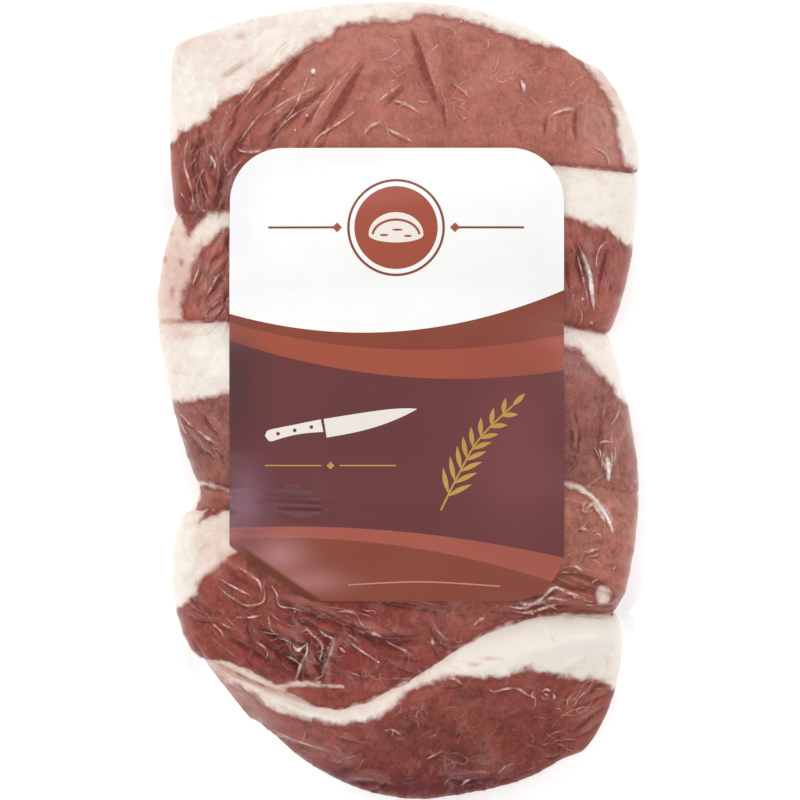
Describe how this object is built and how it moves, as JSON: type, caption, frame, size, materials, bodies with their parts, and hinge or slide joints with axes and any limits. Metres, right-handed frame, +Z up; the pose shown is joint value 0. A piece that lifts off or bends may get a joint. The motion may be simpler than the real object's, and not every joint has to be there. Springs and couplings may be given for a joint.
{
  "type": "vacuum packed sliced picanha",
  "caption": "Clear vacuum pack of shingled picanha slices, each with its fat cap, lying flat with a wave patterned label on top.",
  "frame": {"origin": "middle of the flat underside of the pack as it lies on a table with the label up", "axes": "+Z up through the label, +Y along the pack towards the first slice, +X across it to the right"},
  "size_m": [0.167, 0.274, 0.0479],
  "materials": {
    "lean": "raw beef, moist, pressed smooth under film",
    "fat": "firm cream white fat, pressed smooth under film",
    "film": "clear glossy shrink film",
    "label": "printed label, satin gloss"
  },
  "bodies": {
    "root": {"lean_1": "lean", "lean_2": "lean", "lean_3": "lean", "lean_4": "lean", "lean_5": "lean", "lean_6": "lean", "fat_1": "fat", "fat_2": "fat", "fat_3": "fat", "fat_5": "fat", "fat_6": "fat", "film_seam": "film", "label": "label"}
  },
  "joints": []
}
